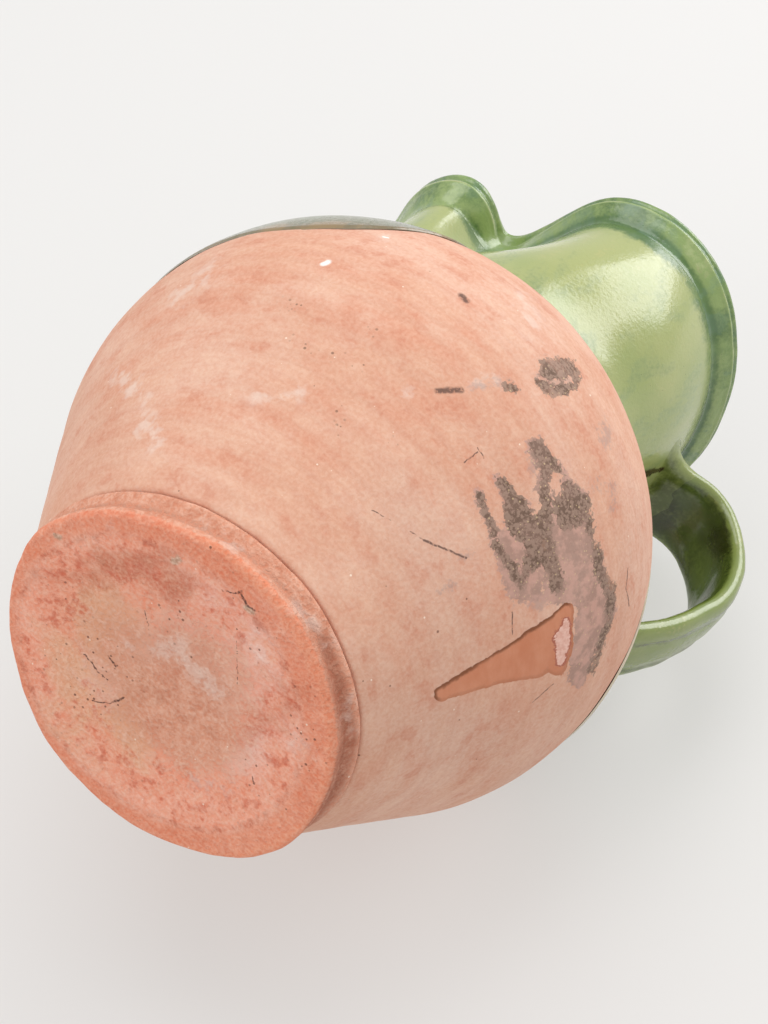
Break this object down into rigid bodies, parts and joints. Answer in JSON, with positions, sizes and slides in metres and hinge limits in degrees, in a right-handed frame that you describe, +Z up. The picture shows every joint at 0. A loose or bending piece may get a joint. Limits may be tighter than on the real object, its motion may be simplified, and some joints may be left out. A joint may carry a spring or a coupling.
{
  "type": "oinochoe jug",
  "caption": "Terracotta pitcher with a round foot, bare ovoid belly, glazed neck, mouth pinched into a narrow spout, rolled lip and strap handle.",
  "frame": {"origin": "centre of the foot's resting plane, on the thrown axis", "axes": "+Z up the thrown axis from the foot to the mouth, +X from the axis towards the handle, the spout points to -X"},
  "size_m": [0.1959, 0.18, 0.246],
  "materials": {
    "foot_clay": "bare fired clay, turned, rough",
    "bare_clay": "bare fired clay, smooth and dry, with throwing rings",
    "green_glaze": "glossy lead-green glaze, pooled in grooves",
    "shoulder_glaze": "glossy glaze, thin and grey-brown at its edge",
    "inner_glaze": "glossy glaze lining"
  },
  "bodies": {
    "root": {"foot_disc": "foot_clay", "belly_wall": "bare_clay", "neck_collar": "green_glaze", "lip_roll": "green_glaze", "handle_strap": "green_glaze", "handle_luting_upper": "green_glaze", "handle_luting_lower": "green_glaze", "shoulder_glaze": "shoulder_glaze", "inner_glaze": "inner_glaze"}
  },
  "joints": []
}
